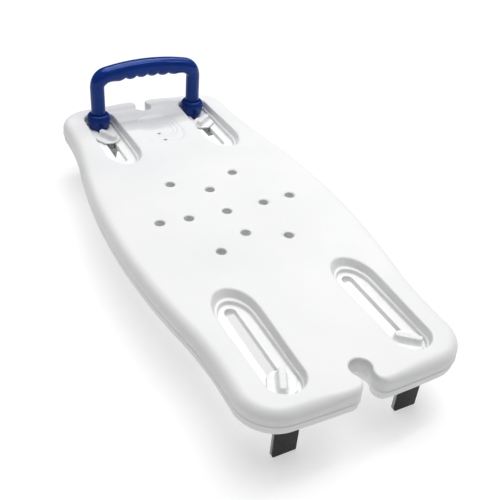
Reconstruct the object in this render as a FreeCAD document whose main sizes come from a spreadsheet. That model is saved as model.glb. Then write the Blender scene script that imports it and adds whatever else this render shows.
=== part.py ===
import FreeCAD, Part
import Sketcher
import math
import os

# Bath transfer board: a hollow moulded seat board that lies across a bath tub, with four hanging
# brackets that slide in slots and are clamped from above by knobs, and a grab handle at one end.
# X runs along the board towards the handle end, Y across it, Z up. The origin is under the middle
# of the board, level with the lower edges of the brackets.

SIZES = {
    # seat board
    "board_length": 690.0,
    "board_width": 325.4,
    "board_thick": 33.0,
    "belly_radius": 1000.0,
    "belly_reach": 185.0,
    "waist_reach": 275.0,
    "corner_radius": 48.0,
    "end_radius": 2000.0,
    "top_round": 13.0,
    "bottom_round": 5.0,
    "side_wall": 5.0,
    "shoulder_wall": 8.0,
    "skin": 4.0,
    "roof": 4.5,
    # seat dish and its drain holes
    "dish_radius": 138.0,
    "dish_depth": 6.0,
    "drain_radius": 6.3,
    "drain_inner_ring": 55.0,
    "drain_outer_ring": 95.5,
    "post_wall": 3.5,
    # clamp recesses, their slots and the channels under them
    "slot_side": 79.5,
    "slot_width": 14.0,
    "slot_outer": 311.0,
    "slot_inner_near": 168.5,
    "slot_inner_far": 184.0,
    "recess_outer": 323.0,
    "recess_inner": 150.0,
    "recess_width": 52.0,
    "recess_depth": 16.0,
    "recess_slope": 6.0,
    "recess_inner_nose": 41.6,
    "recess_outer_nose": 28.6,
    "floor_thick": 7.5,
    "channel_width": 31.0,
    "channel_inner": 163.0,
    "channel_outer": 321.0,
    # hose notches
    "notch_reach": 317.0,
    "notch_radius": 12.0,
    "throat_width": 16.0,
    "throat_flare": 8.0,
    # soap recess
    "soap_inner": 190.0,
    "soap_outer": 285.0,
    "soap_width": 62.0,
    "soap_depth": 3.6,
    "soap_step": 1.2,
    "soap_step_pitch": 17.0,
    "soap_step_inset": 2.0,
    "soap_drain_side": 7.0,
    "soap_drain_radius": 2.6,
    # clamps
    "near_clamp": 295.0,
    "far_clamp": 256.0,
    "washer_radius": 12.0,
    "washer_thick": 1.6,
    "knob_radius": 18.0,
    "knob_rim": 2.4,
    "knob_height": 10.6,
    "knob_roof": 2.6,
    "bar_length": 30.4,
    "bar_width": 7.0,
    "bar_foot_length": 32.0,
    "bar_foot_width": 15.0,
    "insert_radius": 4.4,
    "insert_height": 4.6,
    "bolt_radius": 3.0,
    "bolt_reach": 22.0,
    "bolt_gap": 0.05,
    "loose_gap": 0.4,
    "head_flats": 10.0,
    "head_gap": 0.2,
    "head_thick": 4.0,
    "boss_radius": 8.5,
    # brackets and their pads
    "bracket_drop": 65.0,
    "bracket_width": 29.0,
    "bracket_out": 20.0,
    "bracket_in": 17.0,
    "plate_thick": 6.0,
    "leg_thick": 4.0,
    "rib_thick": 3.0,
    "rib_reach": 19.0,
    "rib_drop": 40.0,
    "tongue_length": 31.0,
    "tongue_width": 13.4,
    "tongue_height": 6.5,
    "tongue_gap": 0.3,
    "pad_thick": 3.0,
    "pad_top_gap": 6.0,
    # grab handle
    "handle_reach": 301.0,
    "leg_radius": 11.0,
    "leg_gap": 0.05,
    "grip_radius": 12.3,
    "bend_radius": 20.0,
    "bend_turn": 78.5,
    "crown_height": 75.6,
    "foot_radius": 16.0,
    "collar_radius": 18.2,
    "collar_start": 11.0,
    "collar_round": 2.0,
    "foot_height": 23.5,
    "foot_round": 5.0,
    "foot_base": 5.0,
    "foot_tongue": 6.0,
    "foot_tongue_length": 22.0,
    "leg_insert_height": 16.0,
    "foot_washer_radius": 13.0,
    "foot_washer_thick": 2.0,
    "foot_bolt_reach": 29.0,
    # how far a cut starts above a face or runs past it, and the least lift that still clears one
    "overrun": 1.0,
    "skim": 0.05,
}

# how far each clamp knob's bar is turned from the X axis, in degrees
BAR_TURN = {"near_left": -26.0, "near_right": 50.0, "far_left": 28.0, "far_right": -50.0}

SOAP_STEPS = 3
# where the soap recess's two drain holes are, in steps from its inner end
SOAP_DRAINS = (0.8, 2.2)
# the part of the handle's crown that has the thicker grip
GRIP_SHARE = 0.8

doc = FreeCAD.newDocument("transfer_board")
sheet = doc.addObject("Spreadsheet::Sheet", "Sizes")
for row, (alias, value) in enumerate(SIZES.items(), start=1):
    sheet.set("A%d" % row, alias)
    sheet.set("B%d" % row, str(value))
    sheet.setAlias("B%d" % row, alias)
doc.recompute()
size = {alias: float(sheet.get(alias)) for alias in SIZES}


# ---------------------------------------------------------------- helpers

def vector(x, y, z=0.0):
    return FreeCAD.Vector(x, y, z)


def cell(formula):
    """Write sheet aliases in a formula as the expression engine wants them."""
    words = formula.replace("(", " ( ").replace(")", " ) ").split()
    return " ".join("Sizes." + word if word in SIZES else word for word in words)


def new_body(name, x=0.0, y=0.0, z=0.0, turn=0.0):
    body = doc.addObject("PartDesign::Body", name)
    body.Label = name
    body.Placement = FreeCAD.Placement(vector(x, y, z), FreeCAD.Rotation(vector(0, 0, 1), turn))
    return body


def origin_item(body, role):
    for item in body.Origin.OriginFeatures:
        if item.Role == role:
            return item
    raise KeyError(role)


def new_sketch(body, name, plane="XY_Plane", lift="0"):
    """A sketch on one of the body's own planes, raised along its normal by a sheet formula."""
    sketch = body.newObject("Sketcher::SketchObject", body.Label + "_" + name)
    sketch.AttachmentSupport = [(origin_item(body, plane), "")]
    sketch.MapMode = "FlatFace"
    sketch.setExpression(".AttachmentOffset.Base.z", cell(lift))
    return sketch


def add_circle(sketch, x, y, radius):
    """A circle whose radius follows a sheet formula and whose centre is held in place."""
    index = sketch.addGeometry(Part.Circle(vector(x, y), vector(0, 0, 1), 5.0), False)
    for kind, value in (("DistanceX", x), ("DistanceY", y)):
        sketch.addConstraint(Sketcher.Constraint(kind, -1, 1, index, 3, value))
    rule = sketch.addConstraint(Sketcher.Constraint("Radius", index, 5.0))
    sketch.setExpression("Constraints[%d]" % rule, cell(radius))


def add_outline(sketch, edges):
    """Closed geometry that has been worked out from the sheet, held in place by block rules."""
    for edge in edges:
        index = sketch.addGeometry(edge, False)
        sketch.addConstraint(Sketcher.Constraint("Block", index))


def add_polygon(sketch, points):
    corners = [vector(x, y) for x, y in points]
    closed = zip(corners, corners[1:] + corners[:1])
    add_outline(sketch, [Part.LineSegment(start, end) for start, end in closed])


def add_box(sketch, x0, x1, y0, y1):
    add_polygon(sketch, [(x0, y0), (x1, y0), (x1, y1), (x0, y1)])


def arc(x, y, radius, start, end):
    circle = Part.Circle(vector(x, y), vector(0, 0, 1), radius)
    return Part.ArcOfCircle(circle, math.radians(start), math.radians(end))


def slot_edges(x0, x1, y, width):
    """Edges of a slot along X with half-round ends at x0 and x1."""
    r = width / 2
    return [
        arc(x1 - r, y, r, -90, 90),
        Part.LineSegment(vector(x1 - r, y + r), vector(x0 + r, y + r)),
        arc(x0 + r, y, r, 90, 270),
        Part.LineSegment(vector(x0 + r, y - r), vector(x1 - r, y - r)),
    ]


def finish(body, feature):
    body.Tip = feature
    doc.recompute()
    return feature


def pad(body, sketch, length, downwards=False):
    feature = body.newObject("PartDesign::Pad", sketch.Name + "_pad")
    feature.Profile = sketch
    feature.setExpression("Length", cell(length))
    feature.Reversed = downwards
    return finish(body, feature)


def pocket(body, sketch, length, upwards=False):
    """Cut downwards from the sketch, or upwards, and insist that some volume was removed."""
    before = body.Shape.Volume
    feature = body.newObject("PartDesign::Pocket", sketch.Name + "_cut")
    feature.Profile = sketch
    feature.setExpression("Length", cell(length))
    feature.Reversed = upwards
    finish(body, feature)
    if body.Shape.Volume > before - 1.0:
        raise ValueError(feature.Name + " cuts nothing")
    return feature


def fillet(body, radius, wanted):
    """Round the edges of the body that wanted(edge) picks."""
    base = body.Tip
    names = ["Edge%d" % (i + 1) for i, edge in enumerate(base.Shape.Edges) if wanted(edge)]
    feature = body.newObject("PartDesign::Fillet", base.Name + "_round")
    feature.Base = (base, names)
    feature.setExpression("Radius", cell(radius))
    return finish(body, feature)


def level_edge(z):
    """Picks the edges that lie wholly in the plane at height z."""
    def test(edge):
        box = edge.BoundBox
        return abs(box.ZMin - z) < 1e-4 and abs(box.ZMax - z) < 1e-4
    return test


# ---------------------------------------------------------------- seat board

def mirrored(kind, data, sx, sy):
    """A quarter's arc or line copied into another quarter by the signs sx and sy."""
    if kind == "line":
        (x0, y0), (x1, y1) = data
        return Part.LineSegment(vector(sx * x0, sy * y0), vector(sx * x1, sy * y1))
    x, y, radius, start, end = data
    if sx < 0:
        start, end = 180 - end, 180 - start
    if sy < 0:
        start, end = -end, -start
    return arc(sx * x, sy * y, radius, start, end)


def board_edges(inset, bay=0.0):
    """The board's plan outline, moved inwards by inset: a wide belly that runs through hollow
    waists into straight sides, round corners and very slightly bowed ends. With a bay, the
    middle of each end steps in round the notch, to that distance on either side."""
    belly = size["belly_radius"]
    belly_y = size["board_width"] / 2 - belly
    turn = math.asin(size["belly_reach"] / belly)
    waist = size["waist_reach"] / math.sin(turn) - belly
    waist_y = belly_y + (belly + waist) * math.cos(turn)
    side = waist_y - waist
    corner = size["corner_radius"]
    end = size["end_radius"]
    end_x = size["board_length"] / 2 - end
    corner_y = side - corner
    corner_x = end_x + math.sqrt((end - corner) ** 2 - corner_y ** 2)
    end_turn = math.degrees(math.atan2(corner_y, corner_x - end_x))
    turn = math.degrees(turn)
    quarter = [
        ("arc", (size["waist_reach"], waist_y, waist + inset, 270 - turn, 270)),
        ("line", ((size["waist_reach"], side - inset), (corner_x, side - inset))),
        ("arc", (corner_x, corner_y, corner - inset, end_turn, 90)),
    ]
    corners = [(1, 1), (1, -1), (-1, 1), (-1, -1)]
    edges = [mirrored(kind, data, sx, sy) for kind, data in quarter for sx, sy in corners]
    mouth = math.degrees(math.asin(bay / (end - inset)))
    mouth_x = end_x + (end - inset) * math.cos(math.radians(mouth))
    back_x = size["notch_reach"] - size["notch_radius"] - size["skin"]
    for sign in (1, -1):
        edges.append(mirrored("arc", (0, belly_y, belly - inset, 90 - turn, 90 + turn), 1, sign))
        for side in (1, -1):
            edges.append(mirrored("arc", (end_x, 0, end - inset, mouth, end_turn), sign, side))
            if bay:
                edges.append(mirrored("line", ((mouth_x, bay), (back_x, bay)), sign, side))
        if bay:
            edges.append(mirrored("line", ((back_x, bay), (back_x, -bay)), sign, 1))
    return edges


def recess_edges(sign_x, sign_y, inset):
    """A clamp recess: straight sides, a long half-ellipse at the inner end and a shorter one at
    the outer end, moved inwards by inset."""
    half = size["recess_width"] / 2 - inset
    y = sign_y * size["slot_side"]
    inner_axis = size["recess_inner_nose"] - inset
    outer_axis = size["recess_outer_nose"] - inset
    inner = size["recess_inner"] + inset + inner_axis
    outer = size["recess_outer"] - inset - outer_axis
    edges = []
    for x, axis, facing in ((inner, inner_axis, -1), (outer, outer_axis, 1)):
        centre = vector(sign_x * x, y)
        if axis > half:
            ellipse = Part.Ellipse(centre + vector(sign_x * facing * axis, 0),
                                   centre + vector(0, sign_x * facing * half), centre)
            edges.append(Part.ArcOfEllipse(ellipse, -math.pi / 2, math.pi / 2))
        else:
            ellipse = Part.Ellipse(centre + vector(0, half), centre + vector(-axis, 0), centre)
            start = 0.0 if sign_x * facing < 0 else math.pi
            edges.append(Part.ArcOfEllipse(ellipse, start, start + math.pi))
    for side in (y + half, y - half):
        edges.append(Part.LineSegment(vector(sign_x * inner, side), vector(sign_x * outer, side)))
    return edges


def notch_edges(sign_x):
    """A keyhole-shaped notch in the middle of an end: a round eye and a straight throat that
    flares out at the edge of the board."""
    radius = size["notch_radius"]
    half = size["throat_width"] / 2
    flare = size["throat_flare"]
    x = size["notch_reach"]
    meet = math.degrees(math.asin(half / radius))
    start = x + math.sqrt(radius ** 2 - half ** 2)
    edge = size["board_length"] / 2
    past = edge + 10 * size["overrun"]
    eye = (x, 0, radius, meet, 360 - meet)
    if sign_x < 0:
        eye = (-x, 0, radius, meet - 180, 180 - meet)
    edges = [arc(*eye)]
    for sign_y in (1, -1):
        lip = ("arc", (edge - flare, half + flare, flare, -90, 0))
        edges += [
            mirrored("line", ((start, half), (edge - flare, half)), sign_x, sign_y),
            mirrored(*lip, sign_x, sign_y),
            mirrored("line", ((edge, half + flare), (past, half + flare)), sign_x, sign_y),
        ]
    edges.append(mirrored("line", ((past, half + flare), (past, -half - flare)), sign_x, 1))
    return edges


def drain_points():
    """The centre hole, four holes on the inner ring and six on the outer ring."""
    points = [(0.0, 0.0)]
    for ring, count, first in ((size["drain_inner_ring"], 4, 0), (size["drain_outer_ring"], 6, 30)):
        for step in range(count):
            angle = math.radians(first + step * 360 / count)
            points.append((ring * math.cos(angle), ring * math.sin(angle)))
    return points


def soap_drain_points():
    """Two small holes, one on each of the soap recess's lower two steps."""
    return [(size["soap_inner"] + steps * size["soap_step_pitch"], size["soap_drain_side"])
            for steps in SOAP_DRAINS]


def build_board():
    body = new_body("seat_board", z=size["bracket_drop"])
    top = size["board_thick"]

    outline = new_sketch(body, "outline")
    add_outline(outline, board_edges(0.0))
    pad(body, outline, "board_thick")

    fillet(body, "bottom_round", level_edge(0.0))
    fillet(body, "top_round", level_edge(top))

    for sign, name in ((1, "far_notch"), (-1, "near_notch")):
        notch = new_sketch(body, name, lift="board_thick + overrun")
        add_outline(notch, notch_edges(sign))
        pocket(body, notch, "board_thick + 2 * overrun")

    # seat dish, a shallow cap of a large ball
    dish = new_sketch(body, "dish", plane="XZ_Plane")
    radius = size["dish_radius"]
    depth = size["dish_depth"]
    ball = (radius ** 2 + depth ** 2) / (2 * depth)
    half_angle = math.degrees(math.asin(radius / ball))
    above = top + 5 * size["overrun"]
    add_outline(dish, [
        arc(0, top - depth + ball, ball, -90, half_angle - 90),
        Part.LineSegment(vector(radius, top), vector(radius, above)),
        Part.LineSegment(vector(radius, above), vector(0, above)),
        Part.LineSegment(vector(0, above), vector(0, top - depth)),
    ])
    before = body.Shape.Volume
    groove = body.newObject("PartDesign::Groove", "seat_dish")
    groove.Profile = dish
    groove.ReferenceAxis = (dish, ["V_Axis"])
    groove.Angle = 360.0
    finish(body, groove)
    if body.Shape.Volume > before - 1.0:
        raise ValueError("the dish cuts nothing")

    # clamp recesses with sloping walls
    for sign_x in (1, -1):
        for sign_y in (1, -1):
            name = ("far" if sign_x > 0 else "near") + ("_left" if sign_y > 0 else "_right")
            mouth = new_sketch(body, name + "_mouth", lift="board_thick + skim")
            add_outline(mouth, recess_edges(sign_x, sign_y, 0.0))
            floor = new_sketch(body, name + "_floor", lift="board_thick - recess_depth")
            add_outline(floor, recess_edges(sign_x, sign_y, size["recess_slope"]))
            before = body.Shape.Volume
            loft = body.newObject("PartDesign::SubtractiveLoft", name + "_recess")
            loft.Profile = mouth
            loft.Sections = [floor]
            loft.Ruled = True
            finish(body, loft)
            if body.Shape.Volume > before - 1.0:
                raise ValueError(name + " recess cuts nothing")

    # slots, and the channels under the board that guide the brackets
    slots = new_sketch(body, "slots", lift="board_thick - recess_depth + overrun")
    channels = new_sketch(body, "channels")
    outer = size["slot_outer"]
    for sign_y in (1, -1):
        y = sign_y * size["slot_side"]
        add_outline(slots, slot_edges(-outer, -size["slot_inner_near"], y, size["slot_width"]))
        add_outline(slots, slot_edges(size["slot_inner_far"], outer, y, size["slot_width"]))
        half = size["channel_width"] / 2
        for sign_x in (1, -1):
            ends = sorted((sign_x * size["channel_inner"], sign_x * size["channel_outer"]))
            add_box(channels, ends[0], ends[1], y - half, y + half)
    pocket(body, channels, "board_thick - recess_depth - floor_thick", upwards=True)
    pocket(body, slots, "board_thick")

    # soap recess in three steps down towards the handle
    x0 = size["soap_inner"]
    x1 = size["soap_outer"]
    width = size["soap_width"]
    for step in range(SOAP_STEPS):
        inset = size["soap_step_inset"] * step
        level = new_sketch(body, "soap_%d" % step, lift="board_thick + overrun")
        start = x0 + step * size["soap_step_pitch"]
        add_outline(level, slot_edges(start, x1 - inset, 0, width - 2 * inset))
        pocket(body, level, "overrun + soap_depth - soap_step * %d" % (SOAP_STEPS - 1 - step))

    # drain holes
    drains = new_sketch(body, "drains", lift="board_thick + overrun")
    for x, y in drain_points():
        add_circle(drains, x, y, "drain_radius")
    for x, y in soap_drain_points():
        add_circle(drains, x, y, "soap_drain_radius")
    pocket(body, drains, "board_thick + 2 * overrun")

    # the hollow inside: a deep layer everywhere, and a second one above it outside the dish
    ceiling = "board_thick - dish_depth - skin"
    hollow(body, "lower_hollow", "skin", ceiling, False)
    hollow(body, "upper_hollow", ceiling, "board_thick - roof", True)
    return body


def hollow(body, name, bottom, top, clear_of_dish):
    """Remove the inside between two levels, leaving the walls round every opening."""
    inside = new_sketch(body, name, lift=bottom)
    wall = size["shoulder_wall"] if clear_of_dish else size["side_wall"]
    rib = size["skin"]
    mouth = size["throat_width"] / 2 + size["throat_flare"]
    add_outline(inside, board_edges(wall, mouth + rib))
    for sign_x in (1, -1):
        for sign_y in (1, -1):
            add_outline(inside, recess_edges(sign_x, sign_y, -rib))
    soap = (size["soap_inner"] - rib, size["soap_outer"] + rib, 0, size["soap_width"] + 2 * rib)
    add_outline(inside, slot_edges(*soap))
    if clear_of_dish:
        add_circle(inside, 0, 0, "dish_radius + post_wall")
    else:
        for x, y in drain_points():
            add_circle(inside, x, y, "drain_radius + post_wall")
    pocket(body, inside, "(%s) - (%s)" % (top, bottom), upwards=True)


# ---------------------------------------------------------------- clamp parts

CLAMPS = {
    "near_left": (-size["near_clamp"], size["slot_side"], 0.0),
    "near_right": (-size["near_clamp"], -size["slot_side"], 0.0),
    "far_left": (size["far_clamp"], size["slot_side"], 180.0),
    "far_right": (size["far_clamp"], -size["slot_side"], 180.0),
}
FLOOR_TOP = size["bracket_drop"] + size["board_thick"] - size["recess_depth"]
FLOOR_BOTTOM = FLOOR_TOP - size["floor_thick"]
WASHER_TOP = FLOOR_TOP + size["washer_thick"]
PLATE_BOTTOM = FLOOR_BOTTOM - size["plate_thick"]


def build_washer(name, x, y, z, radius, thick):
    body = new_body(name, x, y, z)
    ring = new_sketch(body, "ring")
    add_circle(ring, 0, 0, radius)
    add_circle(ring, 0, 0, "bolt_radius + loose_gap")
    pad(body, ring, thick)


def build_insert(name, x, y, z, height):
    body = new_body(name, x, y, z)
    ring = new_sketch(body, "ring")
    add_circle(ring, 0, 0, "insert_radius")
    add_circle(ring, 0, 0, "bolt_radius + bolt_gap")
    pad(body, ring, height)


def build_bolt(name, x, y, z, reach):
    """A hexagon-head bolt whose head hangs below z and whose shank rises from it."""
    body = new_body(name, x, y, z)
    head = new_sketch(body, "head")
    corner = size["head_flats"] / math.sqrt(3)
    turns = [math.radians(60 * step) for step in range(6)]
    add_polygon(head, [(corner * math.cos(turn), corner * math.sin(turn)) for turn in turns])
    pad(body, head, "head_thick", downwards=True)
    shank = new_sketch(body, "shank")
    add_circle(shank, 0, 0, "bolt_radius")
    pad(body, shank, reach)
    fillet(body, "bolt_radius / 5", level_edge(size[reach]))


def build_knob(name, x, y, turn):
    """A flat round knob with a raised bar across it, wider at its foot than at its top, and a
    blind hole for its threaded insert."""
    body = new_body(name, x, y, WASHER_TOP, turn)
    rim = new_sketch(body, "rim")
    add_circle(rim, 0, 0, "knob_radius")
    pad(body, rim, "knob_rim")
    fillet(body, "knob_rim / 3", level_edge(size["knob_rim"]))
    foot = new_sketch(body, "bar_foot")
    half = size["bar_foot_length"] / 2
    side = size["bar_foot_width"] / 2
    add_box(foot, -half, half, -side, side)
    top = new_sketch(body, "bar_top", lift="knob_height")
    half = size["bar_length"] / 2
    side = size["bar_width"] / 2
    add_box(top, -half, half, -side, side)
    bar = body.newObject("PartDesign::AdditiveLoft", name + "_bar")
    bar.Profile = foot
    bar.Sections = [top]
    bar.Ruled = True
    finish(body, bar)
    fillet(body, "bar_width / 6", level_edge(size["knob_height"]))
    seat = new_sketch(body, "seat")
    add_circle(seat, 0, 0, "insert_radius")
    pocket(body, seat, "insert_height", upwards=True)
    bore = new_sketch(body, "bore")
    add_circle(bore, 0, 0, "bolt_radius + loose_gap")
    pocket(body, bore, "knob_height - knob_roof", upwards=True)


def build_bracket(name, x, y, turn):
    """A hanging bracket: a plate that runs in the channel, a tongue in the slot, a leg on the
    outer side with two ribs behind it, and a hexagon seat that holds the bolt's head."""
    body = new_body(name, x, y, PLATE_BOTTOM, turn)
    out = size["bracket_out"]
    half = size["bracket_width"] / 2

    plate = new_sketch(body, "plate")
    add_box(plate, -out, size["bracket_in"], -half, half)
    pad(body, plate, "plate_thick")

    tongue = new_sketch(body, "tongue", lift="plate_thick")
    reach = size["tongue_length"] / 2
    add_outline(tongue, slot_edges(-reach, reach, 0, size["tongue_width"]))
    pad(body, tongue, "tongue_height")

    leg = new_sketch(body, "leg")
    add_box(leg, -out, size["leg_thick"] - out, -half, half)
    pad(body, leg, "%r" % PLATE_BOTTOM, downwards=True)

    boss = new_sketch(body, "boss")
    add_circle(boss, 0, 0, "boss_radius")
    pad(body, boss, "head_thick + overrun", downwards=True)

    root = size["leg_thick"] - out
    for side, label in ((half, "left_rib"), (size["rib_thick"] - half, "right_rib")):
        rib = body.newObject("Sketcher::SketchObject", name + "_" + label)
        rib.AttachmentSupport = [(origin_item(body, "XZ_Plane"), "")]
        rib.MapMode = "FlatFace"
        rib.AttachmentOffset = FreeCAD.Placement(vector(0, 0, -side), FreeCAD.Rotation())
        inside = root - size["overrun"]
        add_polygon(rib, [(inside, 0), (root + size["rib_reach"], 0), (root, -size["rib_drop"]),
                          (inside, -size["rib_drop"])])
        pad(body, rib, "rib_thick")

    def lower_corner(edge):
        box = edge.BoundBox
        return box.XLength > size["leg_thick"] - 0.1 and abs(box.ZMax + PLATE_BOTTOM) < 1e-3

    fillet(body, "rib_thick / 2", lower_corner)

    bore = new_sketch(body, "bore", lift="plate_thick + tongue_height + overrun")
    add_circle(bore, 0, 0, "bolt_radius + bolt_gap")
    pocket(body, bore, "plate_thick + tongue_height + 2 * overrun")
    seat = new_sketch(body, "seat")
    corner = (size["head_flats"] + size["head_gap"]) / math.sqrt(3)
    turns = [math.radians(60 * step) for step in range(6)]
    add_polygon(seat, [(corner * math.cos(angle), corner * math.sin(angle)) for angle in turns])
    pocket(body, seat, "head_thick + 2 * overrun")


def build_pad(name, x, y, turn):
    """The rubber pad on the outer face of a bracket's leg."""
    body = new_body(name, x, y, 0.0, turn)
    face = new_sketch(body, "face")
    half = size["bracket_width"] / 2
    out = size["bracket_out"]
    add_box(face, -out - size["pad_thick"], -out, -half, half)
    pad(body, face, "bracket_drop - pad_top_gap")

    def outer_corner(edge):
        box = edge.BoundBox
        return box.XLength > size["pad_thick"] - 0.1 and box.ZMax < 0.1

    fillet(body, "pad_thick / 2", outer_corner)


# ---------------------------------------------------------------- grab handle

def build_handle():
    """A bent grab handle across the board: two upright legs and a crowned, thicker grip."""
    base = FLOOR_TOP + size["foot_base"]
    body = new_body("handle_grip", size["handle_reach"], 0.0, base)
    side = size["slot_side"]
    bend = size["bend_radius"]
    turn = math.radians(size["bend_turn"])
    meet_y = side - bend + bend * math.cos(turn)
    crown = meet_y / math.cos(turn)
    crown_z = size["bracket_drop"] + size["board_thick"] + size["crown_height"] - base
    bend_z = crown_z - bend * math.sin(turn) - crown * (1 - math.sin(turn))

    path = new_sketch(body, "path", plane="YZ_Plane")
    path_edges = [
        Part.LineSegment(vector(side, 0), vector(side, bend_z)),
        arc(side - bend, bend_z, bend, 0, size["bend_turn"]),
        arc(0, crown_z - crown, crown, size["bend_turn"], 180 - size["bend_turn"]),
        arc(bend - side, bend_z, bend, 180 - size["bend_turn"], 180),
        Part.LineSegment(vector(-side, bend_z), vector(-side, 0)),
    ]
    add_outline(path, path_edges)
    ring = new_sketch(body, "ring")
    add_circle(ring, 0, side, "leg_radius")
    doc.recompute()
    pipe = body.newObject("PartDesign::AdditivePipe", "handle_pipe")
    pipe.Profile = ring
    pipe.Spine = (path, ["Edge%d" % (i + 1) for i in range(len(path_edges))])
    finish(body, pipe)

    # the thicker grip is the crown arc turned about its own centre line
    grip = new_sketch(body, "grip", plane="XZ_Plane")
    add_circle(grip, 0, crown_z, "grip_radius")
    for sign, half_name in ((1, "left"), (-1, "right")):
        sweep = body.newObject("PartDesign::Revolution", "handle_crown_" + half_name)
        sweep.Profile = grip
        axis = new_sketch(body, "crown_axis_" + half_name, plane="XZ_Plane")
        ends = (vector(-bend, crown_z - crown), vector(bend, crown_z - crown))
        axis.addGeometry(Part.LineSegment(*ends), False)
        sweep.ReferenceAxis = (axis, ["Edge1"])
        sweep.Angle = (90 - size["bend_turn"]) * GRIP_SHARE
        sweep.Reversed = sign < 0
        finish(body, sweep)

    # sockets for the inserts in the lower ends of the legs
    sockets = new_sketch(body, "sockets")
    for sign in (1, -1):
        add_circle(sockets, 0, sign * side, "insert_radius")
    pocket(body, sockets, "leg_insert_height", upwards=True)


def build_foot(name, y):
    """A foot that holds a leg of the handle, with a wider collar round its upper part and a
    tongue below that sits in the slot."""
    body = new_body(name, size["handle_reach"], y, FLOOR_TOP)
    stem = new_sketch(body, "stem")
    add_circle(stem, 0, 0, "foot_radius")
    pad(body, stem, "foot_height")
    collar = new_sketch(body, "collar", lift="collar_start")
    add_circle(collar, 0, 0, "collar_radius")
    pad(body, collar, "foot_height - collar_start")
    fillet(body, "foot_round", level_edge(size["foot_height"]))
    lower_edges = level_edge(size["collar_start"])

    def overhang(edge):
        return lower_edges(edge) and edge.BoundBox.XMax > size["collar_radius"] - size["overrun"]

    fillet(body, "collar_round", overhang)
    tongue = new_sketch(body, "tongue")
    inner = -size["foot_tongue_length"] / 2
    outer = size["slot_outer"] - size["handle_reach"] - size["tongue_gap"]
    add_outline(tongue, slot_edges(inner, outer, 0, size["tongue_width"]))
    pad(body, tongue, "foot_tongue", downwards=True)
    socket = new_sketch(body, "socket", lift="foot_height + overrun")
    add_circle(socket, 0, 0, "leg_radius + leg_gap")
    pocket(body, socket, "foot_height + overrun - foot_base")
    bore = new_sketch(body, "bore", lift="foot_height")
    add_circle(bore, 0, 0, "bolt_radius + loose_gap")
    pocket(body, bore, "foot_height + foot_tongue + overrun")


# ---------------------------------------------------------------- the whole object

build_board()
for place, (x, y, turn) in CLAMPS.items():
    build_washer("washer_" + place, x, y, FLOOR_TOP, "washer_radius", "washer_thick")
    build_knob("knob_" + place, x, y, BAR_TURN[place])
    build_insert("knob_insert_" + place, x, y, WASHER_TOP, "insert_height")
    build_bracket("bracket_" + place, x, y, turn)
    build_bolt("clamp_bolt_" + place, x, y, PLATE_BOTTOM, "bolt_reach")
    build_pad("pad_" + place, x, y, turn)

build_handle()
for hand, side in (("left", size["slot_side"]), ("right", -size["slot_side"])):
    reach = size["handle_reach"]
    washer_z = FLOOR_BOTTOM - size["foot_washer_thick"]
    build_foot("handle_foot_" + hand, side)
    build_insert("leg_insert_" + hand, reach, side, FLOOR_TOP + size["foot_base"], "leg_insert_height")
    build_washer("handle_washer_" + hand, reach, side, washer_z, "foot_washer_radius", "foot_washer_thick")
    build_bolt("handle_bolt_" + hand, reach, side, washer_z, "foot_bolt_reach")

doc.recompute()
for item in doc.Objects:
    if "Invalid" in item.State or "Error" in item.State:
        raise ValueError(item.Name + " failed: " + str(item.State))

os.makedirs("parts", exist_ok=True)
bodies = [item for item in doc.Objects if item.TypeId == "PartDesign::Body"]
for body in bodies:
    shape = body.Shape
    if shape.isNull() or not shape.isValid():
        raise ValueError(body.Label + " has a bad shape")
    if len(shape.Solids) != 1:
        raise ValueError(body.Label + " has %d solids" % len(shape.Solids))
for body in bodies:
    body.Shape.exportStep("parts/%s.step" % body.Label)
print("%d nodes" % len(bodies))
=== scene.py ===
import math

import bmesh
import bpy
import numpy as np
from mathutils import Matrix, Vector
from mathutils.geometry import delaunay_2d_cdt
from mathutils.kdtree import KDTree


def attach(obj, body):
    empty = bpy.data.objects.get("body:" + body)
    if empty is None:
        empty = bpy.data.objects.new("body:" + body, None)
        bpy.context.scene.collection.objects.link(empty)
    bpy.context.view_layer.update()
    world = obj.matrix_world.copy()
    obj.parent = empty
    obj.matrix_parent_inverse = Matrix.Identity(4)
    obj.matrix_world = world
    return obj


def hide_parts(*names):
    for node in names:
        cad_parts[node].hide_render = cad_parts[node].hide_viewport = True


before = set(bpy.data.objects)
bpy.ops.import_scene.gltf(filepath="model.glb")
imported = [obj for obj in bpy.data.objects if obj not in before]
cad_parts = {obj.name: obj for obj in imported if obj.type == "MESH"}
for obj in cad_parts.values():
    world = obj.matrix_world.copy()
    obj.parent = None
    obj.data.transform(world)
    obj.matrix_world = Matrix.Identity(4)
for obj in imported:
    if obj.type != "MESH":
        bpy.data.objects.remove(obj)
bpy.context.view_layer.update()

# Bath transfer board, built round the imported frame. Shapes are worked out in millimetres in the
# frame's own axes and scaled to metres when a piece is made.

MM = 0.001

# ---------------------------------------------------------------- seat board measures
TOP = 98.0
BOTTOM = 65.0
BELLY_Y = 162.7
BELLY_R = 1000.0
BELLY_REACH = 185.0
WAIST_X = 275.0
CORNER_R = 48.0
END_X = 345.0
END_R = 2000.0
EYE_X = 317.0
EYE_R = 12.0
LIP_R = 14.0
EDGE_ROUND = 13.0
NOTCH_ROUND = 2.6
BOTTOM_ROUND = 4.5
END_ROUND = 8.5
END_ROUND_BLEND = 45.0
WALL_INSET = 0.6
WALL_FOOT = 79.0
BAND_INSET = 1.35
BAND_FOOT = 70.0
# the ridge at the mould's parting line and the band below it, as (inset, height)
PARTING = ((0.45, 78.75), (0.12, 78.35), (0.0, 77.9), (0.1, 77.45), (0.55, 77.1), (0.95, 76.8),
           (1.1, 76.2), (1.25, 72.5), (BAND_INSET, BAND_FOOT))

DISH_X = 152.0
DISH_Y = 139.0
DISH_DEPTH = 6.0
DRAIN_R = 6.3
DRAIN_FOOT_R = 8.2
DRAIN_BORE = ((DRAIN_R, 87.0), (6.9, 80.0), (DRAIN_FOOT_R, 67.0))
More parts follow.
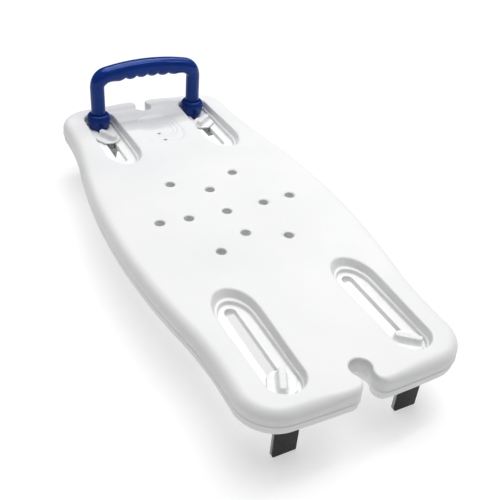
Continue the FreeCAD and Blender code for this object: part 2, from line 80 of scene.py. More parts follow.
# rings of drain holes round the middle one, as (radius, number, first angle)
DRAIN_RINGS = ((55.0, 4, 0), (95.5, 6, 30))
SLOT_Y = 79.5
SLOT_HALF = 7.0
SLOT_OUTER = 311.0
SLOT_INNER = {-1: 168.5, 1: 184.0}
FLOOR_TOP = 82.0
CHANNEL_TOP = 74.5
# inner end, outer end and half width of the channel under each slot
CHANNEL = (163.0, 321.0, 15.5)
LEAF_OUTER_X = 297.0
SOAP_OUT = 285.0
SOAP_HALF = 31.0
SOAP_BEGINS = (190.0, 209.0, 217.0)
SOAP_STEP = 1.15
SOAP_FLOOR_X = 221.5
SOAP_DRAINS_X = (202.0, 228.0)
SOAP_DRAIN_Y = 7.0
SOAP_DRAIN_R = 2.6

# ---------------------------------------------------------------- clamps and handle measures
# each clamp's x and y, and the turn of its knob in degrees
CLAMPS = {
    "near_left": (-295.0, 79.5, -26.0),
    "near_right": (-295.0, -79.5, 50.0),
    "far_left": (256.0, 79.5, 28.0),
    "far_right": (256.0, -79.5, -50.0),
}
WASHER_TOP = 83.6
KNOB_RIM = 2.4
INSERT_SEAT_R = 4.45
INSERT_HEIGHT = 4.6
BOLT_HOLE_R = 3.2
BOLT_HOLE_TOP = 7.3
HANDLE_X = 301.0
CROWN_Z = 173.6
LEG_R = 11.0
GRIP_R = 12.3
BEND_R = 20.0
BEND_TURN = 78.5
LEG_FOOT = FLOOR_TOP + 5.0
SOCKET_DEPTH = 16.0
GRIP_FROM = 150.0
GRIP_BLEND = 16.0
LOBE_PITCH = 18.0
LOBES_REACH = 2 * LOBE_PITCH
END_LOBE_LENGTH = 26.0
LOBE_SWELL = 4.2
END_LOBE_SWELL = 3.2
# heights and lengths in a handle collar's own frame, whose zero is the recess floor
FOOT_BASE = 0.02
FOOT_BORE_R = 3.4
TONGUE_BACK = -11.0
TONGUE_FOOT = -6.0


def smooth(t):
    """A soft step from 0 to 1."""
    t = np.clip(t, 0.0, 1.0)
    return t * t * (3 - 2 * t)


# ---------------------------------------------------------------- mesh helpers

class Shell:
    """Points and faces of one piece, gathered loop by loop."""

    def __init__(self):
        self.points = []
        self.faces = []

    def loop(self, points):
        start = len(self.points)
        self.points += [tuple(float(c) for c in p) for p in points]
        return list(range(start, len(self.points)))

    def bridge(self, a, b, closed=True):
        """Quads from loop a to loop b, which have the same number of points."""
        count = len(a)
        for i in range(count if closed else count - 1):
            j = (i + 1) % count
            self.faces.append((a[i], a[j], b[j], b[i]))

    def loft(self, rows, closed=True):
        """Quads through a list of loops, given as points."""
        made = [self.loop(row) for row in rows]
        for a, b in zip(made, made[1:]):
            self.bridge(a, b, closed)
        return made

    def cap(self, ring):
        """A fan that closes a ring at its middle."""
        middle = np.mean([self.points[i] for i in ring], axis=0)
        centre = self.loop([middle])[0]
        count = len(ring)
        for i in range(count):
            self.faces.append((ring[i], ring[(i + 1) % count], centre))


def inside(points, loop):
    """Which points lie inside a closed loop, seen from above."""
    a = np.array([(p[0], p[1]) for p in loop])
    b = np.roll(a, -1, axis=0)
    rise = b[:, 1] - a[:, 1]
    rise[rise == 0] = 1e-12
    found = np.zeros(len(points), bool)
    for start in range(0, len(points), 4000):
        part = points[start:start + 4000]
        x, y = part[:, :1], part[:, 1:2]
        across = (a[:, 1] > y) != (b[:, 1] > y)
        at = a[:, 0] + (y - a[:, 1]) * (b[:, 0] - a[:, 0]) / rise
        found[start:start + 4000] = (across & (x < at)).sum(1) % 2 == 1
    return found


def fill(shell, rim, holes, height, pitch, creases=(), facing=1):
    """A sheet of triangles inside the rim and outside the holes. Between the loops it has points
    on a staggered grid, at the heights that height(x, y) gives."""
    flat, edges, levels = [], [], []
    for loop in [rim, *holes, *creases]:
        start = len(flat)
        flat += [(p[0], p[1]) for p in loop]
        levels += [p[2] for p in loop]
        edges += [(start + i, start + (i + 1) % len(loop)) for i in range(len(loop))]
    tree = KDTree(len(flat))
    for i, (x, y) in enumerate(flat):
        tree.insert((x, y, 0.0), i)
    tree.balance()
    outline = np.array(flat[:len(rim)])
    grid = []
    rows = np.arange(outline[:, 1].min(), outline[:, 1].max(), pitch * 0.866)
    for k, y in enumerate(rows):
        shift = pitch / 2 if k % 2 else 0.0
        grid += [(x, y) for x in np.arange(outline[:, 0].min() + shift, outline[:, 0].max(), pitch)]
    grid = np.array(grid)
    keep = inside(grid, rim)
    for hole in holes:
        keep &= ~inside(grid, hole)
    for x, y in grid[keep]:
        if tree.find((x, y, 0.0))[2] > 0.62 * pitch:
            flat.append((float(x), float(y)))
            levels.append(float(height(x, y)))
    made = delaunay_2d_cdt([Vector(p) for p in flat], edges, [], 0, 1e-6)
    spots, faces, origins = made[0], made[2], made[3]
    points = []
    for spot, origin in zip(spots, origins):
        z = levels[origin[0]] if origin else height(spot.x, spot.y)
        points.append((spot.x, spot.y, z))
    middles = np.array([np.mean([points[i][:2] for i in face], axis=0) for face in faces])
    keep = inside(middles, rim)
    for hole in holes:
        keep &= ~inside(middles, hole)
    ids = shell.loop(points)
    for face, wanted in zip(faces, keep):
        if wanted:
            order = face if facing > 0 else face[::-1]
            shell.faces.append(tuple(ids[i] for i in order))


def make_piece(name, shell, material, body, replaced=(), sharp=38.0):
    """Turn a shell into an object that rides on a body and stands for CAD nodes."""
    work = bmesh.new()
    spots = [work.verts.new((x * MM, y * MM, z * MM)) for x, y, z in shell.points]
    for face in shell.faces:
        try:
            work.faces.new([spots[i] for i in face])
        except ValueError:
            pass
    bmesh.ops.remove_doubles(work, verts=work.verts, dist=2e-6)
    loose = [v for v in work.verts if not v.link_faces]
    bmesh.ops.delete(work, geom=loose, context="VERTS")
    bmesh.ops.dissolve_degenerate(work, edges=work.edges, dist=1e-7)
    bmesh.ops.recalc_face_normals(work, faces=work.faces)
    mesh = bpy.data.meshes.new(name)
    work.to_mesh(mesh)
    work.free()
    return dress(name, mesh, material, body, replaced, sharp)


def dress(name, mesh, material, body, replaced, sharp):
    mesh.polygons.foreach_set("use_smooth", [True] * len(mesh.polygons))
    mesh.set_sharp_from_angle(angle=math.radians(sharp))
    mesh.materials.clear()
    mesh.materials.append(material)
    piece = bpy.data.objects.new(name, mesh)
    bpy.context.scene.collection.objects.link(piece)
    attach(piece, body)
    if replaced:
        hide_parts(*replaced)
    return piece


def circle(x, y, r, z, count=48):
    turns = [2 * math.pi * i / count for i in range(count)]
    return [(x + r * math.cos(t), y + r * math.sin(t), z) for t in turns]


def arc_run(cx, cy, r, start, end, step):
    """Points on an arc from start to end in degrees, about step apart, without the last one."""
    count = max(2, int(abs(math.radians(end - start)) * r / step))
    turns = [math.radians(start + (end - start) * i / count) for i in range(count)]
    return [(cx + r * math.cos(t), cy + r * math.sin(t)) for t in turns]


# ---------------------------------------------------------------- materials

def new_material(name, colour, roughness, **sockets):
    material = bpy.data.materials.new(name)
    material.use_nodes = True
    shader = material.node_tree.nodes["Principled BSDF"]
    shader.inputs["Base Color"].default_value = (*colour, 1.0)
    shader.inputs["Roughness"].default_value = roughness
    for key, value in sockets.items():
        shader.inputs[key.replace("_", " ")].default_value = value
    return material, material.node_tree, shader


def place(tree, kind, **values):
    """A node with its plain values set; a key with a leading capital is an input socket."""
    node = tree.nodes.new(kind)
    for key, value in values.items():
        if key[0].isupper():
            node.inputs[key.replace("_", " ")].default_value = value
        else:
            setattr(node, key, value)
    return node


def noise(tree, scale, detail=3.0, roughness=0.55, stretch=(1, 1, 1)):
    """Noise in the piece's own coordinates, in metres, so scale is in features per metre."""
    spot = place(tree, "ShaderNodeTexCoord")
    mapping = place(tree, "ShaderNodeMapping", Scale=stretch)
    pattern = place(tree, "ShaderNodeTexNoise", Scale=scale, Detail=detail, Roughness=roughness)
    tree.links.new(spot.outputs["Object"], mapping.inputs["Vector"])
    tree.links.new(mapping.outputs["Vector"], pattern.inputs["Vector"])
    return pattern.outputs["Fac"]


def spread(tree, source, low, high, to_low, to_high):
    node = place(tree, "ShaderNodeMapRange", From_Min=low, From_Max=high, To_Min=to_low, To_Max=to_high)
    tree.links.new(source, node.inputs["Value"])
    return node.outputs["Result"]


def tint(tree, factor, first, second):
    node = place(tree, "ShaderNodeMix", data_type="RGBA")
    tree.links.new(factor, node.inputs[0])
    node.inputs[6].default_value = (*first, 1.0)
    node.inputs[7].default_value = (*second, 1.0)
    return node.outputs[2]


def bump(tree, shader, layers):
    """Stack bump layers of (height, strength, distance in metres) under the shader's normal."""
    normal = None
    for height, strength, distance in layers:
        node = place(tree, "ShaderNodeBump", Strength=strength, Distance=distance)
        tree.links.new(height, node.inputs["Height"])
        if normal is not None:
            tree.links.new(normal, node.inputs["Normal"])
        normal = node.outputs["Normal"]
    tree.links.new(normal, shader.inputs["Normal"])


def shell_plastic():
    """White blow-moulded polyethylene: fine grain, slow waves from the mould, faint scuffs."""
    material, tree, shader = new_material("white_shell", (0.87, 0.872, 0.875), 0.42)
    shader.inputs["Specular IOR Level"].default_value = 0.45
    cloud = noise(tree, 9.0, 3.0)
    tree.links.new(tint(tree, spread(tree, cloud, 0.3, 0.7, 0.0, 1.0),
                        (0.845, 0.85, 0.856), (0.885, 0.886, 0.885)), shader.inputs["Base Color"])
    scuff = noise(tree, 60.0, 6.0, 0.7, (0.25, 1.0, 1.0))
    tree.links.new(spread(tree, scuff, 0.35, 0.7, 0.36, 0.52), shader.inputs["Roughness"])
    bump(tree, shader, [
        (noise(tree, 16.0, 2.0), 0.10, 0.0012),
        (noise(tree, 850.0, 2.0, 0.6), 0.16, 0.00018),
        (scuff, 0.05, 0.0003),
    ])
    return material


def gloss_white():
    """Injection-moulded knobs: smooth, a little cooler and glossier than the board."""
    material, tree, shader = new_material("knob_plastic", (0.86, 0.865, 0.87), 0.26)
    tree.links.new(tint(tree, spread(tree, noise(tree, 120.0), 0.35, 0.65, 0.0, 1.0),
                        (0.83, 0.835, 0.842), (0.875, 0.88, 0.884)), shader.inputs["Base Color"])
    tree.links.new(spread(tree, noise(tree, 300.0, 4.0), 0.3, 0.7, 0.2, 0.36), shader.inputs["Roughness"])
    bump(tree, shader, [(noise(tree, 240.0, 3.0), 0.10, 0.0002), (noise(tree, 2400.0, 1.0), 0.06, 0.00005)])
    return material


def blue_plastic():
    """Deep blue gloss moulding with a soft orange-peel and hand wear."""
    material, tree, shader = new_material("blue_grip", (0.008, 0.037, 0.235), 0.14)
    shader.inputs["Specular IOR Level"].default_value = 0.4
    shader.inputs["Specular Tint"].default_value = (0.38, 0.52, 1.0, 1.0)
    tree.links.new(tint(tree, spread(tree, noise(tree, 45.0, 4.0), 0.3, 0.7, 0.0, 1.0),
                        (0.006, 0.030, 0.205), (0.009, 0.041, 0.255)), shader.inputs["Base Color"])
    wear = noise(tree, 70.0, 5.0, 0.65)
    tree.links.new(spread(tree, wear, 0.35, 0.7, 0.09, 0.18), shader.inputs["Roughness"])
    bump(tree, shader, [(noise(tree, 130.0, 2.0), 0.05, 0.0004), (noise(tree, 1400.0, 2.0), 0.03, 0.00006)])
    return material


def bracket_plastic():
    material, tree, shader = new_material("bracket_plastic", (0.34, 0.345, 0.35), 0.45)
    tree.links.new(tint(tree, spread(tree, noise(tree, 80.0, 4.0), 0.3, 0.7, 0.0, 1.0),
                        (0.30, 0.305, 0.31), (0.38, 0.385, 0.39)), shader.inputs["Base Color"])
    tree.links.new(spread(tree, noise(tree, 260.0, 4.0), 0.3, 0.7, 0.38, 0.55), shader.inputs["Roughness"])
    bump(tree, shader, [(noise(tree, 900.0, 2.0), 0.22, 0.00015), (noise(tree, 60.0), 0.08, 0.0004)])
    return material


def pad_rubber():
    material, tree, shader = new_material("pad_rubber", (0.013, 0.013, 0.014), 0.62)
    dust = noise(tree, 140.0, 6.0, 0.7)
    tree.links.new(tint(tree, spread(tree, dust, 0.45, 0.8, 0.0, 1.0),
                        (0.010, 0.010, 0.011), (0.028, 0.028, 0.029)), shader.inputs["Base Color"])
    tree.links.new(spread(tree, dust, 0.3, 0.7, 0.55, 0.75), shader.inputs["Roughness"])
    bump(tree, shader, [(noise(tree, 1500.0, 2.0), 0.45, 0.0002), (noise(tree, 90.0), 0.1, 0.0005)])
    return material


def metal(name, dark, light, rough, grain):
    material, tree, shader = new_material(name, light, rough, Metallic=1.0)
    tree.links.new(tint(tree, spread(tree, noise(tree, 180.0, 5.0), 0.3, 0.7, 0.0, 1.0), dark, light),
                   shader.inputs["Base Color"])
    tree.links.new(spread(tree, noise(tree, 500.0, 3.0), 0.3, 0.7, rough - 0.06, rough + 0.12),
                   shader.inputs["Roughness"])
    bump(tree, shader, [(noise(tree, grain, 3.0, 0.6, (1, 1, 0.15)), 0.12, 0.0001)])
    return material


def washer_nylon():
    material, tree, shader = new_material("washer_nylon", (0.74, 0.735, 0.70), 0.38)
    tree.links.new(tint(tree, spread(tree, noise(tree, 150.0), 0.3, 0.7, 0.0, 1.0),
                        (0.70, 0.695, 0.66), (0.78, 0.775, 0.745)), shader.inputs["Base Color"])
    tree.links.new(spread(tree, noise(tree, 400.0), 0.3, 0.7, 0.32, 0.48), shader.inputs["Roughness"])
    bump(tree, shader, [(noise(tree, 1200.0), 0.1, 0.0001)])
    return material


SHELL_WHITE = shell_plastic()
KNOB_WHITE = gloss_white()
BLUE = blue_plastic()
BRACKET_GREY = bracket_plastic()
RUBBER = pad_rubber()
STEEL = metal("fastener_steel", (0.52, 0.53, 0.54), (0.66, 0.665, 0.67), 0.3, 900.0)
BRASS = metal("insert_brass", (0.62, 0.46, 0.20), (0.76, 0.60, 0.30), 0.28, 700.0)
NYLON = washer_nylon()


# ---------------------------------------------------------------- seat board

def board_outline():
    """The board's edge in plan as rows of (x, y, top rounding), anticlockwise from above."""
    turn = math.asin(BELLY_REACH / BELLY_R)
    belly_c = BELLY_Y - BELLY_R
    waist_r = WAIST_X / math.sin(turn) - BELLY_R
    waist_c = belly_c + (BELLY_R + waist_r) * math.cos(turn)
    side = waist_c - waist_r
    end_c = END_X - END_R
    corner_y = side - CORNER_R
    corner_x = end_c + math.sqrt((END_R - CORNER_R) ** 2 - corner_y ** 2)
    end_turn = math.degrees(math.atan2(corner_y, corner_x - end_c))
    # the lip touches the end from inside and the eye from outside
    reach = END_R - LIP_R
    gap = EYE_X - end_c
    along = (reach ** 2 - (EYE_R + LIP_R) ** 2 + gap ** 2) / (2 * gap)
    lip_x = end_c + along
    lip_y = math.sqrt(reach ** 2 - along ** 2)
    lip_start = math.degrees(math.atan2(lip_y, along))
    lip_end = math.degrees(math.atan2(-lip_y, EYE_X - lip_x))
    degrees = math.degrees(turn)

    quarter = [(x, y, EDGE_ROUND) for x, y in arc_run(0, belly_c, BELLY_R, 90, 90 - degrees, 5)]
    quarter += [(x, y, EDGE_ROUND) for x, y in arc_run(WAIST_X, waist_c, waist_r, 270 - degrees, 270, 5)]
    straight = np.linspace(WAIST_X, corner_x, 8)[:-1]
    quarter += [(x, side, EDGE_ROUND) for x in straight]
    quarter += [(x, y, EDGE_ROUND) for x, y in arc_run(corner_x, corner_y, CORNER_R, 90, end_turn, 2.2)]
    for x, y in arc_run(end_c, 0, END_R, end_turn, lip_start, 3):
        quarter.append((x, y, END_ROUND + (EDGE_ROUND - END_ROUND) * smooth((y - lip_y) / END_ROUND_BLEND)))
    lip = arc_run(lip_x, lip_y, LIP_R, lip_start, lip_end, 0.9)
    for k, (x, y) in enumerate(lip):
        left_over = 1 - smooth(1.35 * k / len(lip))
        quarter.append((x, y, NOTCH_ROUND + (END_ROUND - NOTCH_ROUND) * left_over))
    eye_start = math.degrees(math.atan2(lip_y, lip_x - EYE_X))
    quarter += [(x, y, NOTCH_ROUND) for x, y in arc_run(EYE_X, 0, EYE_R, eye_start, 180, 1.0)]
    quarter.append((EYE_X - EYE_R, 0.0, NOTCH_ROUND))

    right = quarter + [(x, -y, r) for x, y, r in quarter[::-1][1:]]
    left = [(-x, y, r) for x, y, r in right[::-1]][1:-1]
    return np.array((right + left)[::-1])


def inward(outline):
    """Unit vectors that point into the board at each point of its edge."""
    along = np.roll(outline[:, :2], -1, axis=0) - np.roll(outline[:, :2], 1, axis=0)
    along /= np.linalg.norm(along, axis=1)[:, None]
    return np.stack([-along[:, 1], along[:, 0]], axis=1)


def dish(x, y):
    """How far the top lies below the board's highest plane."""
    reach = (x / DISH_X) ** 2 + (y / DISH_Y) ** 2
    bowl = DISH_DEPTH * max(0.0, 1 - reach) ** 1.6
    trough = 0.45 * smooth((x - 220) / 50) * smooth((318 - x) / 18) * smooth((60 - abs(y)) / 22)
    return float(bowl + trough)


def top_height(x, y):
    return TOP - dish(x, y)


CAP_POINTS = 28
SIDE_POINTS = 34


def leaf(sign_x, sign_y, outer_r, half, tip, axis, z):
    """A recess loop: a round outer end about the knob's end of the slot, sides that widen
    towards the middle of the board, and a long elliptical inner end."""
    points = []
    outer_c = LEAF_OUTER_X
    inner_c = tip + axis
    for i in range(CAP_POINTS):
        turn = math.radians(-90 + 180 * i / CAP_POINTS)
        points.append((outer_c + outer_r * math.cos(turn), outer_r * math.sin(turn)))
    for i in range(SIDE_POINTS):
        t = i / SIDE_POINTS
        points.append((outer_c + (inner_c - outer_c) * t, outer_r + (half - outer_r) * float(smooth(t))))
    for i in range(CAP_POINTS):
        turn = math.radians(90 + 180 * i / CAP_POINTS)
        points.append((inner_c + axis * math.cos(turn), half * math.sin(turn)))
    for i in range(SIDE_POINTS):
        t = i / SIDE_POINTS
        points.append((inner_c + (outer_c - inner_c) * t, -half - (outer_r - half) * float(smooth(t))))
    return [(sign_x * x, sign_y * SLOT_Y + sign_x * y, TOP - z) for x, y in points]


# rows of outer radius, half width, inner tip, inner semi-axis and depth, from the mouth down
LEAF_ROWS = [
    (25.2, 27.8, 147.0, 43.5, 0.0),
    (24.7, 27.3, 148.0, 43.0, 0.12),
    (24.2, 26.7, 149.1, 42.5, 0.45),
    (23.7, 26.0, 150.3, 42.0, 1.05),
    (23.3, 25.3, 151.4, 41.4, 1.9),
    (22.8, 24.2, 153.3, 40.0, 3.9),
    (22.3, 23.0, 155.6, 38.2, 6.5),
    (21.9, 22.0, 157.6, 36.6, 8.8),
    (21.7, 21.5, 158.6, 35.8, 9.7),
    (21.4, 20.9, 159.8, 34.9, 10.15),
    (20.9, 20.0, 161.4, 33.6, 10.45),
    (20.5, 19.4, 162.5, 32.7, 10.75),
    (20.25, 19.1, 163.0, 32.3, 11.3),
    (20.1, 18.9, 163.4, 32.0, 13.0),
    (19.9, 18.7, 163.8, 31.7, 14.7),
    (19.6, 18.4, 164.4, 31.2, 15.55),
    (19.1, 17.9, 165.2, 30.4, 15.9),
    (18.6, 17.4, 166.0, 29.7, 16.0),
]
# extra half width by depth, so that a knob clears the inner end of its recess
KNOB_ROOM = ((1.05, 1.9, 3.9, 6.5, 8.8, 9.7), (0.0, 0.3, 0.5, 0.8, 1.1, 1.3))


def roomy(outer_r, half, tip, axis, depth):
    """A recess row widened for the knob, and lengthened in step with that."""
    room = float(np.interp(depth, *KNOB_ROOM))
    return outer_r, half + room, tip - 1.5 * room, axis + 0.9 * room, depth


def capsule(x0, x1, y, half, z, ends=20, sides=30):
    """A stadium loop along X, anticlockwise from above."""
    points = []
    for i in range(ends):
        turn = math.radians(-90 + 180 * i / ends)
        points.append((x1 - half + half * math.cos(turn), y + half * math.sin(turn), z))
    for i in range(sides):
        points.append((x1 - half + (x0 - x1 + 2 * half) * i / sides, y + half, z))
    for i in range(ends):
        turn = math.radians(90 + 180 * i / ends)
        points.append((x0 + half + half * math.cos(turn), y + half * math.sin(turn), z))
    for i in range(sides):
        points.append((x0 + half + (x1 - x0 - 2 * half) * i / sides, y - half, z))
    return points


def rounded_box(x0, x1, y, half, r, z, corner=6, sides=20):
    """A rectangle along X with round corners, anticlockwise from above."""
    points = []
    centres = [(x1 - r, y - half + r, -90), (x1 - r, y + half - r, 0),
               (x0 + r, y + half - r, 90), (x0 + r, y - half + r, 180)]
    for k, (cx, cy, start) in enumerate(centres):
        for i in range(corner + 1):
            turn = math.radians(start + 90 * i / corner)
            points.append((cx + r * math.cos(turn), cy + r * math.sin(turn), z))
        nx, ny, nstart = centres[(k + 1) % 4]
        turn = math.radians(nstart)
        target = (nx + r * math.cos(turn), ny + r * math.sin(turn))
        start_point = points[-1]
        for i in range(1, sides):
            t = i / sides
            points.append((start_point[0] + (target[0] - start_point[0]) * t,
                           start_point[1] + (target[1] - start_point[1]) * t, z))
    return points


def drain_spots():
    spots = [(0.0, 0.0)]
    for ring, count, first in DRAIN_RINGS:
        for k in range(count):
            turn = math.radians(first + 360 * k / count)
            spots.append((ring * math.cos(turn), ring * math.sin(turn)))
    return spots


def quarter_round(r, steps, start=0):
    """Pairs of (outward shift, drop) along a rounded lip of radius r, from the flat inwards."""
    turns = [math.radians(90 * k / steps) for k in range(start, steps + 1)]
    return [(r * (1 - math.sin(t)), r * (1 - math.cos(t))) for t in turns]


# soap recess: rows of (inner end, side inset, depth) for its three soft steps
SOAP_ROWS = []
for step, begin in enumerate(SOAP_BEGINS):
    for part in (0.0, 0.12, 0.28, 0.45, 0.62, 0.78, 0.9, 1.0):
        shift = 5.0 * part - 1.0
        SOAP_ROWS.append((begin + shift, 6.0 * step + 0.7 * shift, SOAP_STEP * (step + float(smooth(part)))))


def soap_loops():
    loops = []
    for begin, inset, depth in SOAP_ROWS:
        half = SOAP_HALF - inset
        far = SOAP_OUT - inset * 1.4
        loop = capsule(begin, far, 0.0, half, 0.0, 30, 12)
        loops.append([(x, y, top_height(x, y) - depth) for x, y, _ in loop])
    return loops


def build_board():
    shell = Shell()
    outline = board_outline()
    normal = inward(outline)
    rounding = outline[:, 2]

    def edge_loop(inset, z):
        spots = outline[:, :2] + normal * np.broadcast_to(inset, rounding.shape)[:, None]
        levels = np.broadcast_to(z, rounding.shape)
        return [(x, y, level) for (x, y), level in zip(spots, levels)]

    # rounded top edge, wall with its parting ridge, lower band and rounded bottom edge
    rows = []
    steps = 11
    for k in range(steps, -1, -1):
        turn = math.radians(90 * k / steps)
        inset = WALL_INSET + rounding * (1 - math.cos(turn))
        rows.append(edge_loop(inset, TOP - rounding * (1 - math.sin(turn))))
    wall_top = TOP - rounding
    for part in (0.35, 0.7, 1.0):
        rows.append(edge_loop(WALL_INSET, wall_top + (WALL_FOOT - wall_top) * part))
    for inset, z in PARTING:
        rows.append(edge_loop(inset, z))
    for k in range(1, 7):
        turn = math.radians(90 * k / 6)
        inset = BAND_INSET + BOTTOM_ROUND * (1 - math.cos(turn))
        rows.append(edge_loop(inset, BAND_FOOT - (BAND_FOOT - BOTTOM) * math.sin(turn)))
    shell.loft(rows)
    top_rim, bottom_rim = rows[0], rows[-1]

    top_holes, bottom_holes = [], []

    # drain holes with soft lips, which widen towards the underside
    for x, y in drain_spots():
        level = top_height(x, y)
        hole = [circle(x, y, DRAIN_R + shift, level - drop, 40) for shift, drop in quarter_round(2.2, 6)]
        hole[0] = [(px, py, top_height(px, py)) for px, py, _ in hole[0]]
        hole += [circle(x, y, r, z, 40) for r, z in DRAIN_BORE]
        for shift, drop in quarter_round(1.4, 4)[::-1]:
            hole.append(circle(x, y, DRAIN_FOOT_R + shift, BOTTOM + drop, 40))
        shell.loft(hole)
        top_holes.append(hole[0])
        bottom_holes.append(hole[-1])

    # soap recess and its two drains
    soap = soap_loops()
    floor_level = top_height(255.0, 0.0) - SOAP_ROWS[-1][2]

    def soap_height(x, y):
        return floor_level if x > SOAP_FLOOR_X else top_height(x, y) - SOAP_STEP

    drains = []
    lip = quarter_round(0.7, 3)
    for x in SOAP_DRAINS_X:
        y = SOAP_DRAIN_Y
        level = soap_height(x, y)
        hole = [circle(x, y, SOAP_DRAIN_R + shift, level - drop, 20) for shift, drop in lip]
        hole += [circle(x, y, SOAP_DRAIN_R + shift, BOTTOM + drop, 20) for shift, drop in lip[::-1]]
        shell.loft(hole)
        drains.append(hole[0])
        bottom_holes.append(hole[-1])

    fill(shell, soap[0], drains, soap_height, 4.0, soap[1:])
    top_holes.append(soap[0])

    # clamp recesses, slots and the channels under them
    for sx in (-1, 1):
        for sy in (-1, 1):
            rows = [leaf(sx, sy, *roomy(*row)) for row in LEAF_ROWS]
            rows[0] = [(x, y, top_height(x, y)) for x, y, _ in rows[0]]
            shell.loft(rows)
            y = sy * SLOT_Y
            lo, hi = sorted((sx * SLOT_INNER[sx], sx * SLOT_OUTER))
            slot = []
            for shift, drop in quarter_round(0.9, 4):
                slot.append(capsule(lo - shift, hi + shift, y, SLOT_HALF + shift, FLOOR_TOP - drop))
            slot.append(capsule(lo, hi, y, SLOT_HALF, 78.0))
            for shift, drop in quarter_round(0.5, 3)[::-1]:
                slot.append(capsule(lo - shift, hi + shift, y, SLOT_HALF + shift, CHANNEL_TOP + drop))
            shell.loft(slot)
            fill(shell, rows[-1], [slot[0]], lambda px, py: FLOOR_TOP, 5.0)
            near, far, half = CHANNEL
            lo, hi = sorted((sx * near, sx * far))
            walls = []
            for shift, drop in quarter_round(1.6, 4):
                walls.append(rounded_box(lo - shift, hi + shift, y, half + shift, 3.0 + shift, BOTTOM + drop))
            walls.append(rounded_box(lo, hi, y, half, 3.0, CHANNEL_TOP - 1.2))
            for shift, drop in quarter_round(1.2, 4, 1)[::-1]:
                inset = 1.2 - shift
                walls.append(rounded_box(lo + inset, hi - inset, y, half - inset, 3.0 - inset,
                                         CHANNEL_TOP - drop))
            shell.loft(walls)
            fill(shell, walls[-1], [slot[-1]], lambda px, py: CHANNEL_TOP, 6.0, (), -1)
            top_holes.append(rows[0])
            bottom_holes.append(walls[0])

    fill(shell, top_rim, top_holes, top_height, 4.6)
    fill(shell, bottom_rim, bottom_holes, lambda x, y: BOTTOM, 12.0, (), -1)
    return make_piece("seat_board_moulding", shell, SHELL_WHITE, "board", ["seat_board"])


# ---------------------------------------------------------------- clamp knobs

def bar_loop(reach, half, z, count=72):
    """A long bar with round corners, seen from above."""
    points = []
    for i in range(count):
        t = 2 * math.pi * (i + 0.5) / count
        c, s = math.cos(t), math.sin(t)
        points.append((reach * math.copysign(abs(c) ** 0.42, c), half * math.copysign(abs(s) ** 0.42, s), z))
    return points


# the knob's disc as (radius, height), then its bar as (half length, half width, height)
KNOB_DISC = [(INSERT_SEAT_R, 0.0), (17.3, 0.0), (17.8, 0.15), (18.0, 0.5), (18.0, 1.5), (17.85, 2.0),
             (17.5, 2.28), (17.1, KNOB_RIM)]
KNOB_BAR = [(16.35, 7.0, 2.5), (16.15, 6.45, 3.0), (15.95, 5.85, 3.9), (15.8, 5.3, 5.2), (15.65, 4.85, 6.8),
            (15.5, 4.5, 8.4), (15.4, 4.25, 9.3), (15.2, 3.9, 9.95), (14.85, 3.4, 10.35), (14.3, 2.8, 10.55),
            (13.4, 2.0, 10.6), (10.0, 0.7, 10.6)]


def build_knob(place_name, x, y, turn):
    """A flat disc with a raised bar whose flanks sweep down into finger scoops."""
    shell = Shell()
    foot = np.array(bar_loop(16.5, 7.4, 2.3))
    around = np.arctan2(foot[:, 1], foot[:, 0])

    def ring(r, z):
        return [(r * math.cos(t), r * math.sin(t), z) for t in around]

    rows = [ring(r, z) for r, z in KNOB_DISC]
    rim = np.array(rows[-1])
    room = np.clip((KNOB_DISC[-1][0] - np.linalg.norm(foot[:, :2], axis=1)) / 9.0, 0, 1)
    for part in (0.12, 0.3, 0.5, 0.7, 0.88, 1.0):
        spots = rim + (foot - rim) * part
        spots[:, 2] -= 0.75 * room * math.sin(math.pi * part) ** 0.8
        rows.append([tuple(p) for p in spots])
    rows += [bar_loop(*row) for row in KNOB_BAR]
    made = shell.loft(rows)
    shell.cap(made[-1])
    # blind hole for the insert and the bolt's end
    hole = ((INSERT_SEAT_R, 0.0), (INSERT_SEAT_R, INSERT_HEIGHT),
            (BOLT_HOLE_R, INSERT_HEIGHT), (BOLT_HOLE_R, BOLT_HOLE_TOP))
    bore = shell.loft([ring(r, z) for r, z in hole])
    shell.cap(bore[-1])
    c, s = math.cos(math.radians(turn)), math.sin(math.radians(turn))
    shell.points = [(x + px * c - py * s, y + px * s + py * c, WASHER_TOP + pz)
                    for px, py, pz in shell.points]
    return make_piece("clamp_knob_" + place_name, shell, KNOB_WHITE, "knob_" + place_name,
                      ["knob_" + place_name])


# ---------------------------------------------------------------- grab handle

def handle_path(step):
    """Centre line of the handle from the left leg's lower end to the right one's, as rows of
    (y, z, outward y, outward z)."""
    turn = math.radians(BEND_TURN)
    meet_y = SLOT_Y - BEND_R + BEND_R * math.cos(turn)
    crown = meet_y / math.cos(turn)
    bend_z = CROWN_Z - BEND_R * math.sin(turn) - crown * (1 - math.sin(turn))
    half = [(SLOT_Y, z, 1.0, 0.0) for z in np.arange(LEG_FOOT, bend_z, step)]
    for t in np.arange(0, turn, step / BEND_R):
        ny, nz = math.cos(t), math.sin(t)
        half.append((SLOT_Y - BEND_R + BEND_R * ny, bend_z + BEND_R * nz, ny, nz))
    for t in np.linspace(turn, math.pi / 2, int((math.pi / 2 - turn) * crown / step)):
        ny, nz = math.cos(t), math.sin(t)
        half.append((crown * ny, CROWN_Z - crown + crown * nz, ny, nz))
    return half + [(-y, z, -ny, nz) for y, z, ny, nz in half[::-1][1:]]


def finger_lobe(y):
    """How far the grip's underside swells below the round tube."""
    reach = abs(y)
    if reach < LOBES_REACH:
        across = (reach % LOBE_PITCH) / LOBE_PITCH
        return LOBE_SWELL * max(0.0, math.sin(math.pi * across)) ** 0.62
    across = (reach - LOBES_REACH) / END_LOBE_LENGTH
    if across < 1:
        rise = math.sin(math.pi * min(across * 1.9, 1.0) / 2) ** 0.7
        return END_LOBE_SWELL * rise * float(1 - smooth((across - 0.3) / 0.7))
    return 0.0


